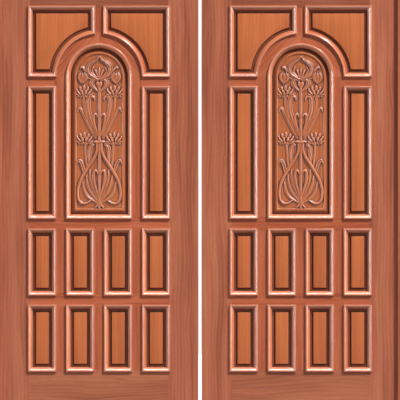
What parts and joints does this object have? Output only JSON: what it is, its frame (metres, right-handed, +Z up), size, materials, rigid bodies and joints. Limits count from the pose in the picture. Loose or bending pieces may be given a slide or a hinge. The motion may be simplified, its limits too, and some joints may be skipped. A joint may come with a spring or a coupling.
{
  "type": "double door",
  "caption": "Pair of panelled hardwood doors with arched carved panels and bolection mouldings, hung on butt hinges in a rebated frame; both leaves swing inward.",
  "frame": {"origin": "on the floor, at the middle of the threshold's underside", "axes": "+X across the doorway, +Y into the room the leaves open to, +Z up; the outside faces -Y"},
  "size_m": [1.9338, 0.076, 2.108],
  "materials": {
    "leaf_mahogany": "satin lacquer",
    "panel_mahogany": "satin lacquer",
    "moulding_mahogany": "satin lacquer",
    "frame_mahogany": "satin lacquer",
    "hinge_brass": "polished",
    "hinge_pin_steel": "turned"
  },
  "bodies": {
    "frame": {"left_jamb": "frame_mahogany", "right_jamb": "frame_mahogany", "head_jamb": "frame_mahogany", "threshold": "frame_mahogany", "left_jamb_hinges": "hinge_brass", "right_jamb_hinges": "hinge_brass", "left_hinge_pins": "hinge_pin_steel", "right_hinge_pins": "hinge_pin_steel"},
    "left_leaf": {"left_hinge_stile": "leaf_mahogany", "left_meeting_stile": "leaf_mahogany", "left_top_rail": "leaf_mahogany", "left_lock_rail": "leaf_mahogany", "left_middle_rail": "leaf_mahogany", "left_bottom_rail": "leaf_mahogany", "left_arch_rail": "leaf_mahogany", "left_crown_mullion": "leaf_mahogany", "left_outer_mullion": "leaf_mahogany", "left_inner_mullion": "leaf_mahogany", "left_outer_cross_rail": "leaf_mahogany", "left_inner_cross_rail": "leaf_mahogany", "left_muntins": "leaf_mahogany", "left_carved_panel": "panel_mahogany", "left_outer_spandrel_panel": "panel_mahogany", "left_inner_spandrel_panel": "panel_mahogany", "left_outer_side_panel": "panel_mahogany", "left_inner_side_panel": "panel_mahogany", "left_small_panels": "panel_mahogany", "left_arch_moulding": "moulding_mahogany", "left_spandrel_mouldings": "moulding_mahogany", "left_side_mouldings": "moulding_mahogany", "left_small_mouldings": "moulding_mahogany", "left_leaf_hinges": "hinge_brass"},
    "right_leaf": {"right_hinge_stile": "leaf_mahogany", "right_meeting_stile": "leaf_mahogany", "right_top_rail": "leaf_mahogany", "right_lock_rail": "leaf_mahogany", "right_middle_rail": "leaf_mahogany", "right_bottom_rail": "leaf_mahogany", "right_arch_rail": "leaf_mahogany", "right_crown_mullion": "leaf_mahogany", "right_outer_mullion": "leaf_mahogany", "right_inner_mullion": "leaf_mahogany", "right_outer_cross_rail": "leaf_mahogany", "right_inner_cross_rail": "leaf_mahogany", "right_muntins": "leaf_mahogany", "right_carved_panel": "panel_mahogany", "right_outer_spandrel_panel": "panel_mahogany", "right_inner_spandrel_panel": "panel_mahogany", "right_outer_side_panel": "panel_mahogany", "right_inner_side_panel": "panel_mahogany", "right_small_panels": "panel_mahogany", "right_arch_moulding": "moulding_mahogany", "right_spandrel_mouldings": "moulding_mahogany", "right_side_mouldings": "moulding_mahogany", "right_small_mouldings": "moulding_mahogany", "right_leaf_hinges": "hinge_brass"}
  },
  "joints": [
    {"name": "left_leaf_swing", "type": "hinge", "parent": "frame", "child": "left_leaf", "pos_m": [-0.9234, 0.0385, 0], "axis": [0, 0, 1], "range_deg": [0, 110]},
    {"name": "right_leaf_swing", "type": "hinge", "parent": "frame", "child": "right_leaf", "pos_m": [0.9234, 0.0385, 0], "axis": [0, 0, -1], "range_deg": [0, 110]}
  ]
}
